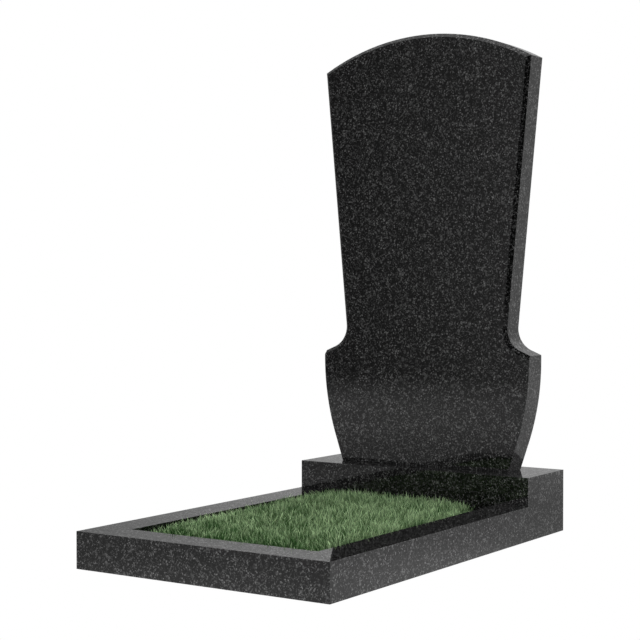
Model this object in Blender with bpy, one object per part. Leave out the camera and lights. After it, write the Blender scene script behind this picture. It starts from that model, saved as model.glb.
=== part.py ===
"""Black granite headstone on a plinth, with a kerbed grave bed in front of it.

A tall flat slab with an arched head, drawn-in waist and bowed foot stands centred on a plinth block.
Two side kerbs and a front kerb, mitred at the front corners, run forward from the plinth and frame a
bed of turf. Metres, +Z up, the front towards -Y, the origin under the middle of the whole base.
"""

import math

import bmesh
import bpy
import numpy as np
from mathutils import Vector

# Base: the kerbs and the plinth share one outside width, and the kerbs run forward from the plinth
BASE_WIDTH = 0.600
BASE_DEPTH = 0.967
KERB_HEIGHT = 0.075
KERB_THICKNESS = 0.077
PLINTH_DEPTH = 0.182
PLINTH_HEIGHT = 0.139

# Slab: heights are above the plinth, insets are from the slab's widest line on each side
SLAB_WIDTH = 0.544
SLAB_HEIGHT = 1.000
SLAB_THICKNESS = 0.064
ARCH_RISE = 0.069
SHOULDER_HEIGHT = 0.263
SHOULDER_BAND = 0.016
LEDGE_SLOPE = math.radians(22.5)
NECK_RADIUS = 0.0535
WAIST_INSET = 0.0574
FOOT_INSET = 0.0515
FOOT_STRAIGHT = 0.062

# Edges: the wide chamfer round the slab's front, and the fine arris of every polished edge
CHAMFER = 0.0085
ARRIS = 0.0003

# Turf: a low crown of grass between the kerbs
TURF_EDGE_HEIGHT = 0.067
TURF_CROWN = 0.014

# Gaps: the dry joint between two stones, and the turf's own clearance from the stones round it
JOINT = 0.0003
TURF_CLEARANCE = 0.0003

# Facets of the round stretches
ARCH_STEPS = 72
NECK_STEPS = 22
BELLY_STEPS = 20
TURF_STEPS_ACROSS = 14
TURF_STEPS_ALONG = 22

HALF_WIDTH = BASE_WIDTH / 2
FRONT_Y = -BASE_DEPTH / 2
BACK_Y = BASE_DEPTH / 2
PLINTH_FRONT_Y = BACK_Y - PLINTH_DEPTH
BED_FRONT_Y = FRONT_Y + KERB_THICKNESS
BED_HALF_WIDTH = HALF_WIDTH - KERB_THICKNESS
SLAB_FRONT_Y = PLINTH_FRONT_Y + (PLINTH_DEPTH - SLAB_THICKNESS) / 2
SLAB_FOOT_Z = PLINTH_HEIGHT + JOINT

SHARP_ANGLE = math.radians(60)
WELD = 0.00001


def clear_scene():
    for thing in list(bpy.data.objects):
        bpy.data.objects.remove(thing, do_unlink=True)


def polished_granite():
    """Near-black stone with a wet-looking polish."""
    material = bpy.data.materials.new("black_granite")
    material.use_nodes = True
    shader = material.node_tree.nodes["Principled BSDF"]
    shader.inputs["Base Color"].default_value = (0.013, 0.013, 0.014, 1.0)
    shader.inputs["Roughness"].default_value = 0.06
    shader.inputs["Metallic"].default_value = 0.0
    return material


def lawn():
    """Short mid-green grass."""
    material = bpy.data.materials.new("grass")
    material.use_nodes = True
    shader = material.node_tree.nodes["Principled BSDF"]
    shader.inputs["Base Color"].default_value = (0.10, 0.19, 0.075, 1.0)
    shader.inputs["Roughness"].default_value = 0.85
    shader.inputs["Metallic"].default_value = 0.0
    return material


def add_piece(name, bm, material):
    """Put a finished bmesh into the scene as one named object."""
    bmesh.ops.recalc_face_normals(bm, faces=bm.faces)
    mesh = bpy.data.meshes.new(name)
    bm.to_mesh(mesh)
    bm.free()
    mesh.materials.append(material)
    piece = bpy.data.objects.new(name, mesh)
    bpy.context.scene.collection.objects.link(piece)
    return piece


def prism(outline, direction):
    """A closed solid: the outline's face, extruded along the direction."""
    bm = bmesh.new()
    face = bm.faces.new([bm.verts.new(point) for point in outline])
    swept = bmesh.ops.extrude_face_region(bm, geom=[face])["geom"]
    corners = [item for item in swept if isinstance(item, bmesh.types.BMVert)]
    bmesh.ops.translate(bm, verts=corners, vec=Vector(direction))
    bmesh.ops.recalc_face_normals(bm, faces=bm.faces)
    return bm


def take_off_arrises(bm, hidden):
    """Chamfer every sharp edge by the arris, but none with an end in a hidden face, such as a joint."""
    edges = [
        edge
        for edge in bm.edges
        if edge.calc_face_angle(0.0) > SHARP_ANGLE
        and not any(all(in_face(corner.co) for corner in edge.verts) for in_face in hidden)
    ]
    bmesh.ops.bevel(bm, geom=edges, offset=ARRIS, offset_type="OFFSET", segments=1, profile=0.5,
                    affect="EDGES", clamp_overlap=True)


def in_plane(axis, place):
    """A test for points that lie in the plane where that axis has that value."""
    return lambda point: abs(point[axis] - place) < WELD


def on_mitre(side):
    """A test for points of a kerb's mitred end, on the left (-1) or the right (+1)."""
    def test(point):
        across = HALF_WIDTH - side * point.x
        along = point.y - FRONT_Y
        return abs(across - along) < JOINT
    return test


def make_plinth(stone):
    outline = [
        (-HALF_WIDTH, PLINTH_FRONT_Y, 0.0),
        (HALF_WIDTH, PLINTH_FRONT_Y, 0.0),
        (HALF_WIDTH, BACK_Y, 0.0),
        (-HALF_WIDTH, BACK_Y, 0.0),
    ]
    bm = prism(outline, (0.0, 0.0, PLINTH_HEIGHT))
    take_off_arrises(bm, hidden=[in_plane(2, 0.0)])
    return add_piece("plinth", bm, stone)


def make_side_kerb(name, side, stone):
    """A kerb along one side, square against the plinth and mitred at the front corner."""
    outer = side * HALF_WIDTH
    inner = side * BED_HALF_WIDTH
    back = PLINTH_FRONT_Y - JOINT
    mitre_gap = JOINT / math.sqrt(2)
    outline = [
        (outer, FRONT_Y + mitre_gap, 0.0),
        (inner, BED_FRONT_Y + mitre_gap, 0.0),
        (inner, back, 0.0),
        (outer, back, 0.0),
    ]
    bm = prism(outline, (0.0, 0.0, KERB_HEIGHT))
    take_off_arrises(bm, hidden=[in_plane(2, 0.0), in_plane(1, back), on_mitre(side)])
    return add_piece(name, bm, stone)


def make_front_kerb(stone):
    """The kerb across the front, mitred at both ends."""
    mitre_gap = JOINT / math.sqrt(2)
    outline = [
        (-HALF_WIDTH + mitre_gap, FRONT_Y, 0.0),
        (HALF_WIDTH - mitre_gap, FRONT_Y, 0.0),
        (BED_HALF_WIDTH - mitre_gap, BED_FRONT_Y, 0.0),
        (-BED_HALF_WIDTH + mitre_gap, BED_FRONT_Y, 0.0),
    ]
    bm = prism(outline, (0.0, 0.0, KERB_HEIGHT))
    take_off_arrises(bm, hidden=[in_plane(2, 0.0), on_mitre(-1), on_mitre(1)])
    return add_piece("kerb_front", bm, stone)


def arc(centre, radius, start, end, steps):
    """Points along an arc, both ends included, as (x, z) rows."""
    angles = np.linspace(start, end, steps + 1)
    return np.column_stack((centre[0] + radius * np.cos(angles), centre[1] + radius * np.sin(angles)))


def foot_side(half):
    """The bowed side below the shoulder: straight from the foot, then an arc that ends upright.

    The arc turns through an angle a between the straight's lean and upright. With t = tan(a / 2), the
    inset is (top - low) t + low 2 t / (1 - t^2), which is solved for t as a cubic.
    """
    top = SHOULDER_HEIGHT - SHOULDER_BAND
    low = FOOT_STRAIGHT
    rise = top - low
    roots = np.roots([-rise, FOOT_INSET, rise + 2 * low, -FOOT_INSET])
    lean = 2 * math.atan(min(root.real for root in roots if root.real > 0))
    radius = rise / math.sin(lean)
    bow = arc((half - radius, top), radius, -lean, 0.0, BELLY_STEPS)
    return np.vstack(([(half - FOOT_INSET, 0.0)], bow))


def neck_side(half, corner_height):
    """The shoulder's ledge, the hollow neck above it and the side up to the head's corner.

    The neck's circle touches the line of the waist, the sloping ledge and the side. Its centre stands a
    radius off the ledge, and the side is the line from the head's corner that just touches it.
    """
    across = half - WAIST_INSET + NECK_RADIUS
    lift = NECK_RADIUS - (NECK_RADIUS - WAIST_INSET) * math.sin(LEDGE_SLOPE)
    up = SHOULDER_HEIGHT + lift / math.cos(LEDGE_SLOPE)
    to_corner = math.atan2(corner_height - up, half - across)
    reach = math.hypot(corner_height - up, half - across)
    upper_touch = to_corner + math.acos(NECK_RADIUS / reach)
    lower_touch = 1.5 * math.pi - LEDGE_SLOPE
    hollow = arc((across, up), NECK_RADIUS, lower_touch, upper_touch, NECK_STEPS)
    return np.vstack(([(half, SHOULDER_HEIGHT)], hollow, [(half, corner_height)]))


def slab_outline():
    """The slab's whole outline from the right foot over the arch to the left foot, as (x, z) rows."""
    half = SLAB_WIDTH / 2
    corner_height = SLAB_HEIGHT - ARCH_RISE
    side = np.vstack((foot_side(half), neck_side(half, corner_height)))
    radius = (half ** 2 + ARCH_RISE ** 2) / (2 * ARCH_RISE)
    spread = math.asin(half / radius)
    head = arc((0.0, SLAB_HEIGHT - radius), radius, math.pi / 2 - spread, math.pi / 2 + spread, ARCH_STEPS)
    left = side[::-1] * (-1.0, 1.0)
    return np.vstack((side, head[1:-1], left))


def make_headstone(stone):
    """The slab: its outline cut through the thickness, the front edge chamfered above the shoulders."""
    outline = [(x, SLAB_FRONT_Y, SLAB_FOOT_Z + z) for x, z in slab_outline()]
    bm = prism(outline, (0.0, SLAB_THICKNESS, 0.0))
    shoulder_z = SLAB_FOOT_Z + SHOULDER_HEIGHT - WELD
    on_front = in_plane(1, SLAB_FRONT_Y)
    front_edges = [
        edge
        for edge in bm.edges
        if all(on_front(corner.co) and corner.co.z > shoulder_z for corner in edge.verts)
    ]
    bmesh.ops.bevel(bm, geom=front_edges, offset=CHAMFER, offset_type="OFFSET", segments=1, profile=0.5,
                    affect="EDGES", clamp_overlap=False)
    take_off_arrises(bm, hidden=[in_plane(2, SLAB_FOOT_Z)])
    return add_piece("headstone", bm, stone)


def make_turf(grass):
    """The bed's fill: flat below, its top a low crown that falls to the kerbs on every side."""
    half = BED_HALF_WIDTH - TURF_CLEARANCE
    front = BED_FRONT_Y + TURF_CLEARANCE
    back = PLINTH_FRONT_Y - TURF_CLEARANCE
    bm = bmesh.new()
    bmesh.ops.create_grid(bm, x_segments=TURF_STEPS_ACROSS, y_segments=TURF_STEPS_ALONG, size=1.0)
    top = list(bm.faces)
    swept = bmesh.ops.extrude_face_region(bm, geom=top, use_keep_orig=True)["geom"]
    crown = [item for item in swept if isinstance(item, bmesh.types.BMVert)]
    for corner in crown:
        u, v = corner.co.x, corner.co.y
        corner.co.z = TURF_EDGE_HEIGHT + TURF_CROWN * (1 - u ** 4) * (1 - v ** 4)
    for corner in bm.verts:
        corner.co.x *= half
        corner.co.y = front + (back - front) * (corner.co.y + 1) / 2
    bmesh.ops.triangulate(bm, faces=bm.faces)
    return add_piece("turf", bm, grass)


def main():
    clear_scene()
    stone = polished_granite()
    make_plinth(stone)
    make_headstone(stone)
    make_side_kerb("kerb_left", -1, stone)
    make_side_kerb("kerb_right", 1, stone)
    make_front_kerb(stone)
    make_turf(lawn())


main()
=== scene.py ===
"""Looks of a black granite headstone with a kerbed bed of grass in front of it.

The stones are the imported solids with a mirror-polished granite finish. The bed's plain fill gives way
to a layer of soil with separate blades of grass rooted in it. Metres, +Z up, the front towards -Y.
"""

import math

import bpy
import numpy as np
from bpy.props import FloatProperty, FloatVectorProperty, IntProperty, PointerProperty
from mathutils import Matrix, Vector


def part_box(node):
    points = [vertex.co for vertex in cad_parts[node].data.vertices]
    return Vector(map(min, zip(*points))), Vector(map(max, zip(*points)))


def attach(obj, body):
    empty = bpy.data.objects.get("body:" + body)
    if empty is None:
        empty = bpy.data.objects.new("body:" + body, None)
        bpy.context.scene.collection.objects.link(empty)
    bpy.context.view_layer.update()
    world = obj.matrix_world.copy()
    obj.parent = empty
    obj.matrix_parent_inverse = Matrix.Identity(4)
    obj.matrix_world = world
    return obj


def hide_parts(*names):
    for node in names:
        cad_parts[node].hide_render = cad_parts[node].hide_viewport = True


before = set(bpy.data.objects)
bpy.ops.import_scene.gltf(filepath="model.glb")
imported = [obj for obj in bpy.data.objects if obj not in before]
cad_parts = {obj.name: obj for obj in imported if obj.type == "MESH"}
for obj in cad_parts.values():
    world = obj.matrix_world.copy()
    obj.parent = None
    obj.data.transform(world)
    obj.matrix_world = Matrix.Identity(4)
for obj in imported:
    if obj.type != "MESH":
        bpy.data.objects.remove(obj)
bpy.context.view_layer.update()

bl_info = {
    "name": "Black granite headstone",
    "version": (1, 0, 0),
    "blender": (4, 5, 0),
    "location": "View3D > Sidebar > Headstone",
    "description": "Polished granite, a bed of grass and a light tent around the packed headstone",
    "category": "Object",
}

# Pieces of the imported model
STONES = ("headstone", "plinth", "kerb_left", "kerb_right", "kerb_front")
FILL = "turf"
BODY = "root"
BED_LOW, BED_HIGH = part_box(FILL)
KERB_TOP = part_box("kerb_front")[1].z

# Viewpoint: the camera stands to the right of the front, a little above half the slab's height
CAMERA_PLACE = (1.7660, -2.7018, 0.5645)
CAMERA_TILT = math.radians(88.6115)
CAMERA_TURN = math.radians(33.8305)
CAMERA_LENS_MM = 85.564
CAMERA_SENSOR_MM = 36.0


class GraniteLook(bpy.types.PropertyGroup):
    """The polished stone."""

    ground: FloatVectorProperty(
        name="Ground", description="Colour of the dark mass between the flecks",
        subtype="COLOR", size=3, min=0.0, max=1.0, default=(0.0012, 0.0012, 0.0012))
    fleck: FloatVectorProperty(
        name="Fleck", description="Colour of the brightest feldspar flecks",
        subtype="COLOR", size=3, min=0.0, max=1.0, default=(0.16, 0.16, 0.16))
    plate_size: FloatProperty(
        name="Plate size", description="Spacing of the largest feldspar plates",
        unit="LENGTH", min=0.001, max=0.1, default=0.010)
    dot_size: FloatProperty(
        name="Dot size", description="Spacing of the small round grains",
        unit="LENGTH", min=0.0005, max=0.05, default=0.0040)
    spot_size: FloatProperty(
        name="Spot size", description="Spacing of the rare broad spots",
        unit="LENGTH", min=0.001, max=0.1, default=0.012)
    cluster_size: FloatProperty(
        name="Cluster size", description="Breadth of the patches that hold more or fewer flecks",
        unit="LENGTH", min=0.005, max=1.0, default=0.030)
    roughness: FloatProperty(
        name="Roughness", description="Roughness of the polish",
        subtype="FACTOR", min=0.0, max=1.0, default=0.03)
    glint: FloatProperty(
        name="Glint", description="How much more than the ground the flecks mirror",
        subtype="FACTOR", min=0.0, max=1.0, default=1.0)


class GrassLook(bpy.types.PropertyGroup):
    """The soil and the grass on it."""

    soil_height: FloatProperty(
        name="Soil height", description="Height of the soil above the ground in the middle of the bed",
        unit="LENGTH", min=0.01, max=0.2, default=0.050)
    soil_lumps: FloatProperty(
        name="Soil lumps", description="Height of the soil's lumps",
        unit="LENGTH", min=0.0, max=0.02, default=0.003)
    soil: FloatVectorProperty(
        name="Soil", description="Colour of the damp soil",
        subtype="COLOR", size=3, min=0.0, max=1.0, default=(0.016, 0.013, 0.009))
    blades_per_square_metre: IntProperty(
        name="Blades", description="Blades on each square metre",
        min=1000, max=200000, default=60000)
    tip_height: FloatProperty(
        name="Tip height", description="Height of the blades' tips above the ground in the middle of the bed",
        unit="LENGTH", min=0.02, max=0.3, default=0.077)
    tip_spread: FloatProperty(
        name="Tip spread", description="How far the tallest fifth of the blades stands above the others",
        unit="LENGTH", min=0.0, max=0.05, default=0.011)
    blade_width: FloatProperty(
        name="Blade width", description="Width of a blade at its broadest",
        unit="LENGTH", min=0.0005, max=0.02, default=0.0026)
    lean: FloatProperty(
        name="Lean", description="How far a tip stands off its root sideways",
        unit="LENGTH", min=0.0, max=0.05, default=0.012)
    fresh: FloatVectorProperty(
        name="Fresh", description="Colour of the greenest blades",
        subtype="COLOR", size=3, min=0.0, max=1.0, default=(0.038, 0.125, 0.025))
    pale: FloatVectorProperty(
        name="Pale", description="Colour of the palest blades",
        subtype="COLOR", size=3, min=0.0, max=1.0, default=(0.73, 1.00, 0.55))
    # painted shade: the near-black foot colour stands in for the shade low among the blades
    root: FloatVectorProperty(
        name="Root", description="Colour of a blade at its foot",
        subtype="COLOR", size=3, min=0.0, max=1.0, default=(0.012, 0.028, 0.008))
    seed: IntProperty(
        name="Seed", description="Start of the random draws",
        min=0, default=7)


class StageLook(bpy.types.PropertyGroup):
    """The floor and the light tent."""

    floor_place: FloatVectorProperty(
        name="Floor place", description="Middle of the round floor",
        subtype="XYZ", unit="LENGTH", size=3, default=(-1.60, 1.00, 0.0))
    floor_radius: FloatProperty(
        name="Floor radius", description="Radius of the round floor",
        unit="LENGTH", min=1.0, max=50.0, default=6.0)
    floor_fade: FloatProperty(
        name="Floor fade", description="Radius from which the floor fades into the tent",
        unit="LENGTH", min=0.5, max=50.0, default=3.4)
    floor_glow: FloatProperty(
        name="Floor glow", description="Radiance of the floor as the polished stone mirrors it",
        min=0.0, max=2.0, default=0.60)
    ring_shade: FloatProperty(
        name="Ring shade", description="What the floor's radiance loses in a dim ring round the kerbs",
        min=0.0, max=2.0, default=0.22)
    pool_glow: FloatProperty(
        name="Pool glow", description="What the pool of light on the floor adds to that",
        min=0.0, max=2.0, default=0.25)
    pool_place: FloatVectorProperty(
        name="Pool place", description="Middle of the pool of light",
        subtype="XYZ", unit="LENGTH", size=3, default=(0.50, -0.40, 0.0))
    pool_radius: FloatProperty(
        name="Pool radius", description="Distance at which the pool falls to about a third",
        unit="LENGTH", min=0.1, max=10.0, default=0.90)
    tent_glow: FloatProperty(
        name="Tent glow", description="Radiance of the whole tent where no panel lights it",
        min=0.0, max=2.0, default=0.02)


class Wire:
    """An output socket. Arithmetic on it adds Math nodes to its tree."""

    def __init__(self, nodes, socket):
        self.nodes = nodes
        self.socket = socket

    def output(self, name):
        """Another output of the same node."""
        return Wire(self.nodes, named(self.socket.node.outputs, name))

    def math(self, operation, *others):
        """A Math node that works on this socket and the others, in that order."""
        return self.nodes.add("ShaderNodeMath", {"operation": operation}, dict(enumerate((self, *others))))

    def __add__(self, other):
        return self.math("ADD", other)

    __radd__ = __add__

    def __sub__(self, other):
        return self.math("SUBTRACT", other)

    def __rsub__(self, other):
        return self.nodes.add("ShaderNodeMath", {"operation": "SUBTRACT"}, {0: other, 1: self})

    def __mul__(self, other):
        return self.math("MULTIPLY", other)

    __rmul__ = __mul__

    def __pow__(self, other):
        return self.math("POWER", other)

    def __abs__(self):
        return self.math("ABSOLUTE")


class Nodes:
    """The node tree of a material or of the world, emptied and built up again."""

    def __init__(self, tree):
        self.tree = tree
        tree.nodes.clear()

    def add(self, kind, settings=None, sockets=None, out=0):
        """Add a node: its settings first, then its sockets' values or links. Gives one output as a Wire."""
        node = self.tree.nodes.new(kind)
        for name, value in (settings or {}).items():
            setattr(node, name, value)
        for name, value in (sockets or {}).items():
            socket = named(node.inputs, name)
            if isinstance(value, Wire):
                self.tree.links.new(value.socket, socket)
            else:
                socket.default_value = value
        return Wire(self, named(node.outputs, out)) if node.outputs else None


def named(sockets, name):
    """A socket by its number, its identifier or its name."""
    if isinstance(name, int):
        return sockets[name]
    for socket in sockets:
        if socket.identifier == name:
            return socket
    return sockets[name]


def smooth(wire, low, high, start=0.0, end=1.0):
    """Start below low, end above high and a smooth step between them."""
    return wire.nodes.add(
        "ShaderNodeMapRange", {"interpolation_type": "SMOOTHSTEP"},
        {"Value": wire, "From Min": low, "From Max": high, "To Min": start, "To Max": end})


def blend_colours(factor, first, second):
    """The first colour where the factor is 0 and the second where it is 1."""
    return factor.nodes.add(
        "ShaderNodeMix", {"data_type": "RGBA", "clamp_factor": True},
        {"Factor_Float": factor, "A_Color": first, "B_Color": second}, out="Result_Color")


def opaque(colour):
    """A colour property as a socket's four numbers."""
    return (*colour, 1.0)


def new_material(name):
    """A material and its emptied node tree."""
    material = bpy.data.materials.new(name)
    material.use_nodes = True
    return material, Nodes(material.node_tree)


# Plates of feldspar, larger and smaller: thickness and reach, as shares of their spacing
LARGE_PLATE = (0.10, 0.50)
SMALL_PLATE = (0.13, 0.55)
PLATE_BLUR = 0.5    # how far a plate's faces fade, as a share of its thickness
PLATE_CORE = 0.7    # where a plate's rim starts to fade, as a share of its reach
# Round grains: where one starts to fade and where it ends, as shares of their spacing
DOT_CORE, DOT_RIM = 0.05, 0.60
# Power that turns a grain's luck into its brightness: the higher, the fewer grains are bright
DOT_RARITY = 5.5
SPOT_RARITY = 10.0
SMALLER = 0.62    # spacing of the smaller plates and dots, as a share of the larger ones'
# How strongly each layer of flecks shows
PLATE_STRENGTH = 0.40
DOT_STRENGTH = 1.75
FINE_DOT_STRENGTH = 1.30
SPOT_STRENGTH = 0.35
# Slow noise up to which the flecks are sparsest, and from which they are densest, and what is left of
# their strength where they are sparsest
SPARSEST_TO, DENSEST_FROM, SPARSEST_SHARE = 0.30, 0.70, 0.60
# Strength at which a fleck starts to glint, and at which it glints in full
GLINT_LOW, GLINT_HIGH = 0.08, 0.40
STONE_IOR = 1.5


def granite_plates(nodes, place, size, thickness, reach):
    """One layer of flat feldspar crystals, cut by the stone's surface into thin streaks.

    Every cell of a Voronoi pattern holds one disc, turned at random: the cell's colour gives the disc's
    normal. A point is in the disc where its distance along that normal is under the thickness and its
    distance from the cell's centre is under the reach, both as shares of the cell. The faces and the rim
    fade out softly.
    """
    cell = nodes.add("ShaderNodeTexVoronoi", {}, {"Vector": place, "Scale": 1.0 / size}, out="Distance")
    turned = nodes.add(
        "ShaderNodeVectorMath", {"operation": "SUBTRACT"},
        {0: cell.output("Color"), 1: (0.5, 0.5, 0.5)}, out="Vector")
    normal = nodes.add("ShaderNodeVectorMath", {"operation": "NORMALIZE"}, {0: turned}, out="Vector")
    offset = nodes.add(
        "ShaderNodeVectorMath", {"operation": "SUBTRACT"},
        {0: place, 1: cell.output("Position")}, out="Vector")
    height = nodes.add("ShaderNodeVectorMath", {"operation": "DOT_PRODUCT"},
                       {0: offset, 1: normal}, out="Value")
    luck = nodes.add("ShaderNodeTexWhiteNoise", {}, {"Vector": cell.output("Position")}, out="Value")
    near, far = (1 - PLATE_BLUR) * thickness, (1 + PLATE_BLUR) * thickness
    inside = smooth(abs(height) * (1.0 / size), near, far, 1.0, 0.0)
    return inside * smooth(cell, PLATE_CORE * reach, reach, 1.0, 0.0) * luck


def granite_dots(nodes, place, size, rarity):
    """Small round grains, one in each Voronoi cell. The rarer they are, the fewer of them are bright."""
    cell = nodes.add("ShaderNodeTexVoronoi", {}, {"Vector": place, "Scale": 1.0 / size}, out="Distance")
    luck = nodes.add("ShaderNodeTexWhiteNoise", {}, {"Vector": cell.output("Position")}, out="Value")
    return smooth(cell, DOT_CORE, DOT_RIM, 1.0, 0.0) * luck ** rarity


def polished_granite(look):
    """Near-black stone, mirror-polished: streaks and dots of feldspar, gathered into looser and denser
    patches by a slow noise, over a dark ground."""
    material, nodes = new_material("polished_black_granite")
    place = nodes.add("ShaderNodeTexCoord", out="Object")
    large = granite_plates(nodes, place, look.plate_size, *LARGE_PLATE)
    small = granite_plates(nodes, place, SMALLER * look.plate_size, *SMALL_PLATE)
    dots = granite_dots(nodes, place, look.dot_size, DOT_RARITY)
    fine = granite_dots(nodes, place, SMALLER * look.dot_size, DOT_RARITY)
    spots = granite_dots(nodes, place, look.spot_size, SPOT_RARITY)
    patches = nodes.add("ShaderNodeTexNoise", {},
                        {"Vector": place, "Scale": 1.0 / look.cluster_size, "Detail": 2.0}, out="Fac")
    gathered = smooth(patches, SPARSEST_TO, DENSEST_FROM, SPARSEST_SHARE, 1.0)
    plates = PLATE_STRENGTH * large + PLATE_STRENGTH * small
    grains = plates + DOT_STRENGTH * dots + FINE_DOT_STRENGTH * fine
    flecks = grains * gathered + SPOT_STRENGTH * spots
    colour = blend_colours(flecks, opaque(look.ground), opaque(look.fleck))
    shader = nodes.add("ShaderNodeBsdfPrincipled", {},
                       {"Base Color": colour, "Roughness": look.roughness, "IOR": STONE_IOR,
                        "Coat Weight": smooth(flecks, GLINT_LOW, GLINT_HIGH, 0.0, look.glint)})
    nodes.add("ShaderNodeOutputMaterial", {}, {"Surface": shader})
    return material


# Crumbs of soil: how many on a metre, the noise between which they turn from dark to light, and the
# dark ones' share of the soil's colour
CRUMBS_PER_METRE = 160.0
CRUMB_LOW, CRUMB_HIGH = 0.35, 0.65
CRUMB_DARK = 0.4
SOIL_ROUGHNESS = 0.9


def damp_soil(look):
    """Dark crumbly earth."""
    material, nodes = new_material("damp_soil")
    place = nodes.add("ShaderNodeTexCoord", out="Object")
    crumbs = nodes.add("ShaderNodeTexNoise", {},
                       {"Vector": place, "Scale": CRUMBS_PER_METRE, "Detail": 3.0}, out="Fac")
    dark = tuple(CRUMB_DARK * value for value in look.soil)
    colour = blend_colours(smooth(crumbs, CRUMB_LOW, CRUMB_HIGH), opaque(dark), opaque(look.soil))
    shader = nodes.add("ShaderNodeBsdfPrincipled", {},
                       {"Base Color": colour, "Roughness": SOIL_ROUGHNESS})
    nodes.add("ShaderNodeOutputMaterial", {}, {"Surface": shader})
    return material


# Share of the height up to which a blade has the painted shade of its root colour, and from which its full
# one
LEAF_LOW, LEAF_HIGH = 0.30, 0.92
LEAF_ROUGHNESS = 0.7
LEAF_SPECULAR = 0.2


def grass_leaf(look):
    """Blades from fresh to pale green, each with its own shade, with painted shade darker towards the foot.

    The mean of both greens stays behind the link as the material's plain colour.
    """
    material, nodes = new_material("grass_leaf")
    shade = nodes.add("ShaderNodeAttribute", {"attribute_name": "shade"}, out="Fac")
    height = nodes.add("ShaderNodeAttribute", {"attribute_name": "height"}, out="Fac")
    leaf = blend_colours(shade, opaque(look.fresh), opaque(look.pale))
    # painted shade: each blade darkens towards its foot
    colour = blend_colours(smooth(height, LEAF_LOW, LEAF_HIGH), opaque(look.root), leaf)
    mean = [(fresh + pale) / 2 for fresh, pale in zip(look.fresh, look.pale)]
    shader = nodes.add("ShaderNodeBsdfPrincipled", {},
                       {"Base Color": opaque(mean), "Roughness": LEAF_ROUGHNESS,
                        "Specular IOR Level": LEAF_SPECULAR})
    nodes.tree.links.new(colour.socket, shader.socket.node.inputs["Base Color"])
    nodes.add("ShaderNodeOutputMaterial", {}, {"Surface": shader})
    return material


def add_piece(name, points, triangles, material):
    """A mesh from arrays of points and triangles, riding on the stones' body."""
    mesh = bpy.data.meshes.new(name)
    mesh.vertices.add(len(points))
    mesh.vertices.foreach_set("co", points.astype(np.float32).ravel())
    mesh.loops.add(triangles.size)
    mesh.loops.foreach_set("vertex_index", triangles.astype(np.int32).ravel())
    mesh.polygons.add(len(triangles))
    mesh.polygons.foreach_set("loop_start", np.arange(0, triangles.size, 3, dtype=np.int32))
    mesh.update(calc_edges=True)
    mesh.materials.append(material)
    piece = bpy.data.objects.new(name, mesh)
    bpy.context.scene.collection.objects.link(piece)
    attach(piece, BODY)
    return piece


def slow_noise(x, y, cell, random):
    """Smooth noise from -1 to 1: random values on a square lattice, eased between its corners."""
    across = (x - BED_LOW.x) / cell
    along = (y - BED_LOW.y) / cell
    columns = int(math.ceil((BED_HIGH.x - BED_LOW.x) / cell)) + 2
    rows = int(math.ceil((BED_HIGH.y - BED_LOW.y) / cell)) + 2
    lattice = random.uniform(-1.0, 1.0, (columns, rows))
    i = np.clip(np.floor(across).astype(int), 0, columns - 2)
    j = np.clip(np.floor(along).astype(int), 0, rows - 2)
    u = np.clip(across - i, 0.0, 1.0)
    v = np.clip(along - j, 0.0, 1.0)
    u = u * u * (3 - 2 * u)
    v = v * v * (3 - 2 * v)
    near = lattice[i, j] * (1 - u) + lattice[i + 1, j] * u
    far = lattice[i, j + 1] * (1 - u) + lattice[i + 1, j + 1] * u
    return near * (1 - v) + far * v


SOIL_CROWN = 0.006    # how far the soil's middle stands above its edge
# Spacing of the soil's larger and smaller lumps, and the smaller ones' share of the height
LUMP_CELL, SMALL_LUMP_CELL = 0.035, 0.014
SMALL_LUMP_SHARE = 0.6
SOIL_COLUMNS, SOIL_ROWS = 72, 112


def soil_heights(x, y, look):
    """The soil's surface: a low crown, one less the fourth power of the way to each kerb, with lumps."""
    u = (2 * x - BED_LOW.x - BED_HIGH.x) / (BED_HIGH.x - BED_LOW.x)
    v = (2 * y - BED_LOW.y - BED_HIGH.y) / (BED_HIGH.y - BED_LOW.y)
    random = np.random.default_rng(look.seed)
    crown = SOIL_CROWN * (1 - u ** 4) * (1 - v ** 4)
    lumps = slow_noise(x, y, LUMP_CELL, random)
    lumps = lumps + SMALL_LUMP_SHARE * slow_noise(x, y, SMALL_LUMP_CELL, random)
    return look.soil_height - SOIL_CROWN + crown + look.soil_lumps * lumps


def soil_mesh(look):
    """A closed slab: a grid for the top, the same grid flat for the bottom, and a wall round the edge."""
    u = np.linspace(BED_LOW.x, BED_HIGH.x, SOIL_COLUMNS + 1)
    v = np.linspace(BED_LOW.y, BED_HIGH.y, SOIL_ROWS + 1)
    x, y = (grid.ravel() for grid in np.meshgrid(u, v, indexing="ij"))
    top = np.column_stack((x, y, soil_heights(x, y, look)))
    bottom = np.column_stack((x, y, np.full_like(x, BED_LOW.z)))
    index = np.arange(len(x)).reshape(SOIL_COLUMNS + 1, SOIL_ROWS + 1)
    corner, right = index[:-1, :-1].ravel(), index[1:, :-1].ravel()
    across, left = index[1:, 1:].ravel(), index[:-1, 1:].ravel()
    upper = np.vstack((np.column_stack((corner, right, across)), np.column_stack((corner, across, left))))
    lower = upper[:, ::-1] + len(x)
    rim = np.concatenate((index[:, 0], index[-1, 1:], index[-2::-1, -1], index[0, -2:0:-1]))
    follow = np.roll(rim, -1)
    wall = np.vstack((
        np.column_stack((rim + len(x), follow + len(x), follow)),
        np.column_stack((rim + len(x), follow, rim)),
    ))
    return np.vstack((top, bottom)), np.vstack((upper, lower, wall))


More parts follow.
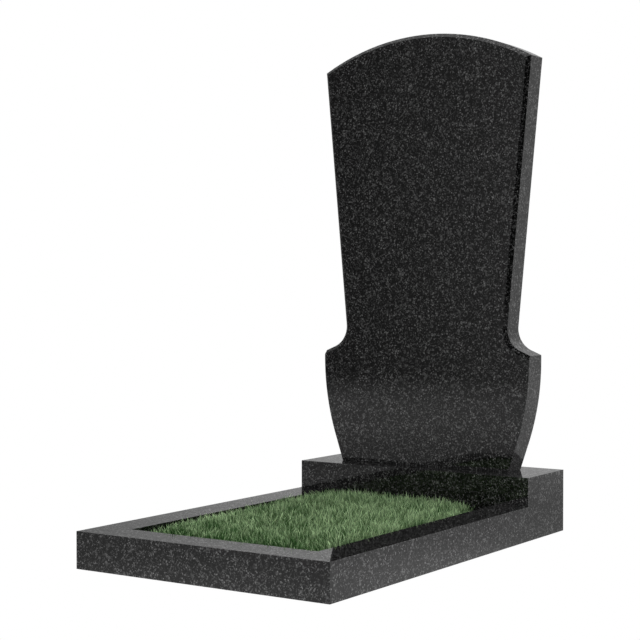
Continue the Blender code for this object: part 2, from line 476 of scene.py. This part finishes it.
# How much lower the tips end beside the kerbs, and the distances over which that fades to a third. Along
# the left kerb the drop grows from the plinth to the front, by a power of the way, and has a part of its
# own beside the plinth.
LEFT_DROP, LEFT_POWER, LEFT_FADE = 0.022, 1.2, 0.030
LEFT_BACK_DROP, LEFT_BACK_FADE = 0.015, 0.060
RIGHT_DROP, RIGHT_FADE = 0.010, 0.015
FRONT_DROP, FRONT_FADE = 0.006, 0.030
CORNER_DROP, CORNER_FADE_X, CORNER_FADE_Y = 0.020, 0.060, 0.100


def faded(distance, reach):
    """1 at no distance, about a third at the reach and nothing far off."""
    return np.exp(-distance / reach)


def tip_heights(x, y, look):
    """Where most tips end: level in the middle, lower at the kerbs and in the back right corner."""
    from_left = x - BED_LOW.x
    from_right = BED_HIGH.x - x
    from_front = y - BED_LOW.y
    from_back = BED_HIGH.y - y
    along = from_back / (BED_HIGH.y - BED_LOW.y)
    left_drop = LEFT_DROP * along ** LEFT_POWER + LEFT_BACK_DROP * faded(from_back, LEFT_BACK_FADE)
    left_drop = left_drop * faded(from_left, LEFT_FADE)
    right_drop = RIGHT_DROP * faded(from_right, RIGHT_FADE)
    front_drop = FRONT_DROP * faded(from_front, FRONT_FADE)
    corner_drop = CORNER_DROP * faded(np.hypot(from_right / CORNER_FADE_X, from_back / CORNER_FADE_Y), 1.0)
    return look.tip_height - left_drop - right_drop - front_drop - corner_drop


# Bare corners: how far each reaches along X and along Y, up to which share of that nothing grows, and how
# fast the cover rises from there
BACK_RIGHT_BARE = (0.062, 0.098)
FRONT_LEFT_BARE = (0.038, 0.038)
BARE_TO = 0.8
COVER_SLOPE = 2.5


def grass_cover(x, y):
    """The share of roots that grew: all in the middle, none in the back right and front left corners."""
    back_right = np.hypot((BED_HIGH.x - x) / BACK_RIGHT_BARE[0], (BED_HIGH.y - y) / BACK_RIGHT_BARE[1])
    front_left = np.hypot((x - BED_LOW.x) / FRONT_LEFT_BARE[0], (y - BED_LOW.y) / FRONT_LEFT_BARE[1])
    cover = 1.0
    for share in (back_right, front_left):
        cover = cover * np.clip(COVER_SLOPE * (share - BARE_TO), 0, 1)
    return cover


def blade_roots(low_y, high_y, look, random):
    """Roots on a square grid, each moved at random inside its own square."""
    spacing = 1.0 / math.sqrt(look.blades_per_square_metre)
    margin = look.blade_width
    width = BED_HIGH.x - BED_LOW.x - 2 * margin
    columns = round(width / spacing)
    rows = round((high_y - low_y) / spacing)
    i, j = (grid.ravel() for grid in np.meshgrid(np.arange(columns), np.arange(rows), indexing="ij"))
    x = BED_LOW.x + margin + (i + random.random(i.size)) * width / columns
    y = low_y + (j + random.random(j.size)) * (high_y - low_y) / rows
    grown = random.random(x.size) < grass_cover(x, y)
    return x[grown], y[grown]


# How far above the kerb's top a blade has to be where it crosses the kerb's face
KERB_CLEARANCE = 0.0015
SMALLEST_REACH = 1e-6    # keeps a blade that doesn't lean from a division by zero
# The way up a blade's centre line at which each of its rings stands, and the ring's share of the width
BLADE_WAY = np.array([0.0, 0.45, 0.80])
BLADE_TAPER = np.array([0.80, 1.0, 0.62])
BLADE_SIDES = 3
BLADE_POINTS = BLADE_SIDES * len(BLADE_WAY) + 1
BLADE_THICKNESS = 0.30    # as a share of the blade's own width
NARROWEST, BROADEST = 0.65, 1.15    # as shares of the look's blade width
ROOT_DEPTH = 0.002
SHORTEST_BLADE = 0.010
# How tall a blade is by chance: the power that makes tall ones rare, and a jitter as a share of the spread
TALL_POWER = 3
TIP_JITTER = 0.25
# Lean: what blades share with their neighbours, over which spacing, and what each has of its own
LEAN_SHARED, LEAN_CELL, LEAN_OWN = 0.7, 0.030, 0.55
# Shade, from 0 fresh to 1 pale: the mean, what the tallest add, broad patches and tufts with their
# spacings, what each blade has of its own, and the painted shade taken off beside the front kerb
SHADE_MEAN = 0.15
SHADE_TALL = 0.5
SHADE_PATCHES, PATCH_CELL = 0.22, 0.024
SHADE_TUFTS, TUFT_CELL = 0.30, 0.010
SHADE_OWN = 0.20
FRONT_PAINTED_SHADE, FRONT_PAINTED_SHADE_FADE = 0.30, 0.070


def held_back(offset, room, rise, root_z):
    """A tip's reach towards a kerb, cut where the blade would enter the stone below the kerb's top.

    The blade bends by the cube of the way up it, so it crosses the kerb's face at the cube root of
    room over reach. It may only cross above the kerb's top.
    """
    ahead = np.maximum(offset, SMALLEST_REACH)
    crossing = np.cbrt(np.clip(room / ahead, 0.0, 1.0))
    enters = (offset > room) & (root_z + rise * crossing < KERB_TOP + KERB_CLEARANCE)
    return np.where(enters, room, offset)


def blade_lean(x, y, look, swirl, random):
    """How far each tip stands off its root along one axis: in part as its neighbours do, in part its own."""
    shared = LEAN_SHARED * slow_noise(x, y, LEAN_CELL, swirl)
    return look.lean * (shared + random.normal(0.0, LEAN_OWN, x.size))


def blade_triangles():
    """One blade's triangles: its foot, two for each side between two rings, and a cap up to the tip."""
    ring = np.arange(BLADE_POINTS - 1).reshape(-1, BLADE_SIDES)
    following = np.roll(ring, -1, axis=1)
    lower, lower_next = ring[:-1].ravel(), following[:-1].ravel()
    upper, upper_next = ring[1:].ravel(), following[1:].ravel()
    tip = np.full(BLADE_SIDES, BLADE_POINTS - 1)
    return np.vstack((
        ring[0],
        np.column_stack((upper_next, lower_next, lower)),
        np.column_stack((upper, upper_next, lower)),
        np.column_stack((tip, following[-1], ring[-1])),
    ))


def grass_mesh(low_y, high_y, look, random):
    """Blades of grass between two lines across the bed, as points, triangles and the points' attributes.

    A blade is three rings of three points and a tip. Its centre line rises in proportion to the way up
    and bends sideways by the cube of it. Its width follows a fixed taper.
    """
    x, y = blade_roots(low_y, high_y, look, random)
    count = x.size
    root_z = soil_heights(x, y, look) - ROOT_DEPTH
    tall = random.random(count) ** TALL_POWER
    extra = look.tip_spread * (tall + TIP_JITTER * random.normal(0.0, 1.0, count))
    tip_z = tip_heights(x, y, look) + extra
    rise = np.maximum(tip_z - root_z, SHORTEST_BLADE)
    swirl = np.random.default_rng(look.seed + 1)
    lean_x = blade_lean(x, y, look, swirl, random)
    lean_y = blade_lean(x, y, look, swirl, random)
    wall = 0.5 * look.blade_width
    lean_x = np.maximum(lean_x, BED_LOW.x + wall - x)
    lean_y = np.minimum(lean_y, BED_HIGH.y - wall - y)
    lean_x = held_back(lean_x, BED_HIGH.x - wall - x, rise, root_z)
    lean_y = -held_back(-lean_y, y - BED_LOW.y - wall, rise, root_z)

    facing = random.uniform(0.0, math.pi, count)
    width = look.blade_width * random.uniform(NARROWEST, BROADEST, count)
    side = np.stack((np.cos(facing), np.sin(facing), np.zeros(count)), axis=1)
    front = np.stack((-np.sin(facing), np.cos(facing), np.zeros(count)), axis=1)
    root = np.stack((x, y, root_z), axis=1)
    bend = np.stack((lean_x, lean_y, np.zeros(count)), axis=1)
    up = np.stack((np.zeros(count), np.zeros(count), rise), axis=1)
    centre = (root[:, None, :] + up[:, None, :] * BLADE_WAY[None, :, None]
              + bend[:, None, :] * (BLADE_WAY ** 3)[None, :, None])
    corners = np.stack((0.5 * side, -0.5 * side, BLADE_THICKNESS * front), axis=1)
    breadth = width[:, None] * BLADE_TAPER
    rings = centre[:, :, None, :] + corners[:, None, :, :] * breadth[:, :, None, None]
    tip = (root + up + bend)[:, None, :]
    points = np.concatenate((rings.reshape(count, -1, 3), tip), axis=1)
    first = BLADE_POINTS * np.arange(count)
    triangles = (blade_triangles()[None, :, :] + first[:, None, None]).reshape(-1, 3)

    height = np.tile(np.append(np.repeat(BLADE_WAY, BLADE_SIDES), 1.0), count)
    shade = SHADE_MEAN + SHADE_TALL * tall
    shade += SHADE_PATCHES * slow_noise(x, y, PATCH_CELL, swirl)
    shade += random.normal(0.0, SHADE_OWN, count)
    shade += SHADE_TUFTS * slow_noise(x, y, TUFT_CELL, swirl)
    # painted shade: blades beside the front kerb are darkened, fading to a third over the given distance
    shade -= FRONT_PAINTED_SHADE * faded(y - BED_LOW.y, FRONT_PAINTED_SHADE_FADE)
    shade = np.repeat(np.clip(shade, 0.0, 1.0), BLADE_POINTS)
    return points.reshape(-1, 3), triangles, {"height": height, "shade": shade}


class HEADSTONE_OT_polish_stones(bpy.types.Operator):
    """Give the slab, the plinth and the kerbs their polished granite"""

    bl_idname = "headstone.polish_stones"
    bl_label = "Polish stones"

    def execute(self, context):
        material = polished_granite(context.scene.headstone_granite)
        for name in STONES:
            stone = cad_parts[name]
            stone.data.materials.clear()
            stone.data.materials.append(material)
        return {"FINISHED"}


class HEADSTONE_OT_lay_soil(bpy.types.Operator):
    """Fill the bed with soil in place of the plain fill"""

    bl_idname = "headstone.lay_soil"
    bl_label = "Lay soil"

    def execute(self, context):
        look = context.scene.headstone_grass
        points, triangles = soil_mesh(look)
        soil = add_piece("turf_soil", points, triangles, damp_soil(look))
        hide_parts(FILL)
        return {"FINISHED"}


STRIPS = 4


class HEADSTONE_OT_sow_grass(bpy.types.Operator):
    """Plant the blades, in strips from the front of the bed to the plinth"""

    bl_idname = "headstone.sow_grass"
    bl_label = "Sow grass"

    def execute(self, context):
        look = context.scene.headstone_grass
        material = grass_leaf(look)
        random = np.random.default_rng(look.seed + 2)
        lines = np.linspace(BED_LOW.y + look.blade_width, BED_HIGH.y - look.blade_width, STRIPS + 1)
        for number, (low_y, high_y) in enumerate(zip(lines, lines[1:]), start=1):
            points, triangles, attributes = grass_mesh(low_y, high_y, look, random)
            strip = add_piece(f"grass_strip_{number}", points, triangles, material)
            for name, values in attributes.items():
                layer = strip.data.attributes.new(name, "FLOAT", "POINT")
                layer.data.foreach_set("value", values.astype(np.float32))
        return {"FINISHED"}


class HEADSTONE_OT_set_stage(bpy.types.Operator):
    """Set up the pale floor, the light tent and the camera"""

    bl_idname = "headstone.set_stage"
    bl_label = "Set stage"

    def execute(self, context):
        look = context.scene.headstone_stage
        lay_floor(look)
        hang_tent(look)
        place_camera()
        context.scene.view_settings.view_transform = "Standard"
        return {"FINISHED"}


WHITE = (1.0, 1.0, 1.0)
FLOOR_SIDES = 128
FLOOR_GAP = 0.0005    # between the floor and the stones' undersides
# The dim ring on the floor: its middle, the radii over which it sets in and those over which it ends
RING_PLACE = (0.0, -0.15, 0.0)
RING_START = (0.25, 0.65)
RING_END = (0.9, 2.2)


def lay_floor(look):
    """A round pale floor, burnt out to white for the lens; the stones mirror its painted glow, pool and dim
    ring.
    """
    turn = np.linspace(0.0, 2 * math.pi, FLOOR_SIDES, endpoint=False)
    rim = look.floor_radius * np.column_stack((np.cos(turn), np.sin(turn), np.zeros_like(turn)))
    rim += look.floor_place
    mesh = bpy.data.meshes.new("studio_floor")
    mesh.from_pydata(rim.tolist(), [], [list(range(len(rim)))])
    material, nodes = new_material("pale_floor")
    place = nodes.add("ShaderNodeTexCoord", out="Object")
    from_middle, from_pool, from_kerbs = (
        nodes.add("ShaderNodeVectorMath", {"operation": "DISTANCE"}, {0: place, 1: point}, out="Value")
        for point in (look.floor_place, look.pool_place, RING_PLACE))
    pool = (from_pool * from_pool * (-1.0 / look.pool_radius ** 2)).math("EXPONENT")
    ring = smooth(from_kerbs, *RING_START) - smooth(from_kerbs, *RING_END)
    # painted light and shade: a pool of light and a dim ring round the kerbs are painted into the floor's
    # glow
    glow = look.floor_glow + look.pool_glow * pool - look.ring_shade * ring
    tone = nodes.add("ShaderNodeEmission", {}, {"Color": opaque(WHITE), "Strength": glow})
    clear = nodes.add("ShaderNodeBsdfTransparent")
    mirrored = nodes.add("ShaderNodeMixShader", {},
                         {0: smooth(from_middle, look.floor_fade, look.floor_radius), 1: tone, 2: clear})
    burnt = nodes.add("ShaderNodeEmission", {}, {"Color": opaque(WHITE), "Strength": 1.0})
    seen = nodes.add("ShaderNodeLightPath", out="Is Camera Ray")
    surface = nodes.add("ShaderNodeMixShader", {}, {0: seen, 1: mirrored, 2: burnt})
    nodes.add("ShaderNodeOutputMaterial", {}, {"Surface": surface})
    mesh.materials.append(material)
    floor = bpy.data.objects.new("studio_floor", mesh)
    floor.location.z = -FLOOR_GAP
    bpy.context.scene.collection.objects.link(floor)


# Panels of the light tent: azimuth from +Y towards +X and height, both in degrees, strength, sharpness
TENT_PANELS = (
    (12.0, 0.0, 0.555, 1.7),
    (328.0, 7.0, 0.085, 80.0),
    (188.0, 2.0, 0.98, 21.0),
    (215.0, 45.0, 5.0, 30.0),
    (165.0, 38.0, 4.0, 40.0),
    (30.0, 55.0, 3.0, 20.0),
)
# The panel overhead: strength, sharpness, and between which parts of a direction along Y its front edge lies
OVERHEAD_PANEL = (0.95, 2.2, -0.17, -0.09)


def hang_tent(look):
    """A white background for the lens, and for the stones a tent lit by soft panels.

    A panel's share of a direction's radiance is its strength times the cosine of the angle to the
    panel's middle, to the power of its sharpness.
    """
    world = bpy.data.worlds.new("light_tent")
    world.use_nodes = True
    bpy.context.scene.world = world
    nodes = Nodes(world.node_tree)
    direction = nodes.add("ShaderNodeTexCoord", out="Generated")
    glow = look.tent_glow
    for azimuth, height, strength, sharpness in TENT_PANELS:
        turn, rise = math.radians(azimuth), math.radians(height)
        middle = (math.sin(turn) * math.cos(rise), math.cos(turn) * math.cos(rise), math.sin(rise))
        cosine = nodes.add("ShaderNodeVectorMath", {"operation": "DOT_PRODUCT"},
                           {0: direction, 1: middle}, out="Value")
        share = strength * cosine.math("MAXIMUM", 0.0) ** sharpness
        glow = share + glow
    strength, sharpness, edge, lit = OVERHEAD_PANEL
    upward = nodes.add("ShaderNodeSeparateXYZ", {}, {"Vector": direction}, out="Z")
    behind_edge = smooth(upward.output("Y"), edge, lit)
    glow = glow + strength * upward.math("MAXIMUM", 0.0) ** sharpness * behind_edge
    seen = nodes.add("ShaderNodeLightPath", out="Is Camera Ray")
    tent = nodes.add("ShaderNodeBackground", {}, {"Color": opaque(WHITE), "Strength": glow})
    white = nodes.add("ShaderNodeBackground", {}, {"Color": opaque(WHITE), "Strength": 1.0})
    surface = nodes.add("ShaderNodeMixShader", {}, {0: seen, 1: tent, 2: white})
    nodes.add("ShaderNodeOutputWorld", {}, {"Surface": surface})


def place_camera():
    """The scene's camera, at the viewpoint named at the top."""
    data = bpy.data.cameras.new("camera")
    data.sensor_width = CAMERA_SENSOR_MM
    data.lens = CAMERA_LENS_MM
    camera = bpy.data.objects.new("camera", data)
    camera.location = CAMERA_PLACE
    camera.rotation_euler = (CAMERA_TILT, 0.0, CAMERA_TURN)
    bpy.context.scene.collection.objects.link(camera)
    bpy.context.scene.camera = camera


class HEADSTONE_PT_looks(bpy.types.Panel):
    """The steps and the values of the headstone's looks"""

    bl_idname = "HEADSTONE_PT_looks"
    bl_label = "Headstone"
    bl_space_type = "VIEW_3D"
    bl_region_type = "UI"
    bl_category = "Headstone"

    def draw(self, context):
        for step in STEPS:
            self.layout.operator(step.bl_idname)
        for name in LOOKS:
            look = getattr(context.scene, name)
            column = self.layout.column()
            for value in look.bl_rna.properties:
                if value.identifier not in {"rna_type", "name"}:
                    column.prop(look, value.identifier)


LOOKS = {
    "headstone_granite": GraniteLook,
    "headstone_grass": GrassLook,
    "headstone_stage": StageLook,
}
STEPS = (
    HEADSTONE_OT_set_stage,
    HEADSTONE_OT_polish_stones,
    HEADSTONE_OT_lay_soil,
    HEADSTONE_OT_sow_grass,
)
CLASSES = (*LOOKS.values(), *STEPS, HEADSTONE_PT_looks)


def register():
    for item in CLASSES:
        bpy.utils.register_class(item)
    for name, look in LOOKS.items():
        setattr(bpy.types.Scene, name, PointerProperty(type=look))


def unregister():
    for name in LOOKS:
        delattr(bpy.types.Scene, name)
    for item in reversed(CLASSES):
        bpy.utils.unregister_class(item)


def main():
    register()
    bpy.ops.headstone.set_stage()
    bpy.ops.headstone.polish_stones()
    bpy.ops.headstone.lay_soil()
    bpy.ops.headstone.sow_grass()


if __name__ == "__main__":
    main()
